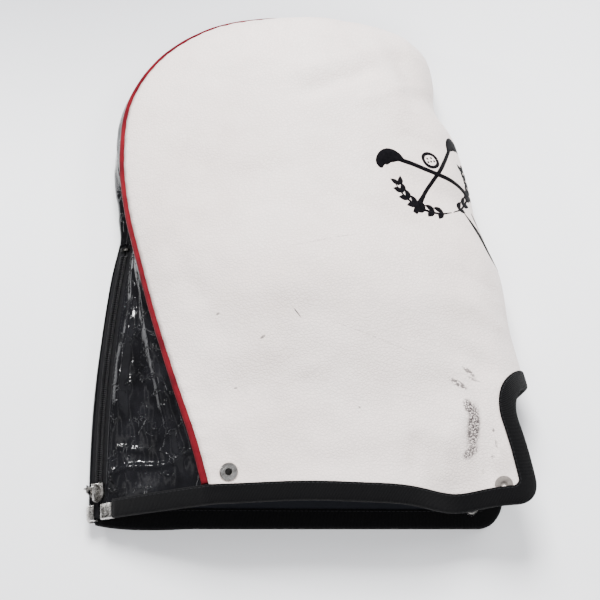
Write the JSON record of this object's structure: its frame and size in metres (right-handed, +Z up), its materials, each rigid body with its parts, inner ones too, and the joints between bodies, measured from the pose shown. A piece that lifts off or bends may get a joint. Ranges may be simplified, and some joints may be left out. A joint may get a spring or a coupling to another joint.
{
  "type": "golf bag hood",
  "caption": "Soft rain and travel hood for a golf bag, lying collapsed: leatherette front, patent gussets, corded seam, bound hem with a handle notch, side zip and press studs.",
  "frame": {"origin": "centre of the hood's footprint, on the surface it lies on", "axes": "+Z up; +X towards the front fold and its handle notch, -X towards the zip; -Y out of the open mouth, +Y towards the closed dome"},
  "size_m": [0.3674, 0.4704, 0.088],
  "materials": {
    "white_leatherette": "grained, satin",
    "navy_lining": "woven, matt",
    "black_patent": "patent, high gloss",
    "black_tape": "ribbed, matt",
    "black_coil": "moulded coil",
    "red_vinyl": "soft vinyl cord",
    "nickel": "worn nickel plate"
  },
  "bodies": {
    "hood": {"front_panel": "white_leatherette", "front_lining": "navy_lining", "gusset_upper": "black_patent", "gusset_lower": "black_patent", "gusset_lining_upper": "navy_lining", "gusset_lining_lower": "navy_lining", "zip_tape_upper": "black_tape", "zip_tape_lower": "black_tape", "zip_coil_upper": "black_coil", "zip_coil_lower": "black_coil", "hem_clip_upper": "nickel", "hem_clip_lower": "nickel", "seam_piping": "red_vinyl", "hem_binding": "black_tape", "zip_end_stop": "nickel", "stud_cap_front_upper": "nickel", "stud_cap_back_upper": "nickel", "stud_cap_front_lower": "nickel", "stud_cap_back_lower": "nickel", "stud_socket_front_upper": "nickel", "stud_socket_back_upper": "nickel", "stud_socket_front_lower": "nickel", "stud_socket_back_lower": "nickel"},
    "slider": {"zip_slider": "nickel"},
    "link": {"pull_link": "nickel"},
    "pull": {"zip_pull": "nickel"}
  },
  "joints": [
    {"name": "zip_run", "type": "hinge", "parent": "hood", "child": "slider", "pos_m": [0.97806, -0.15716, 0.017], "axis": [0, 0, -1], "range_deg": [0, 10.2]},
    {"name": "link_flip", "type": "hinge", "parent": "slider", "child": "link", "pos_m": [-0.17417, -0.2037, 0.02296], "axis": [-0.0435, 0.9991, 0], "range_deg": [0, 125]},
    {"name": "pull_swing", "type": "hinge", "parent": "link", "child": "pull", "pos_m": [-0.18088, -0.20399, 0.01939], "axis": [-0.0435, 0.9991, 0], "range_deg": [0, 90]}
  ]
}
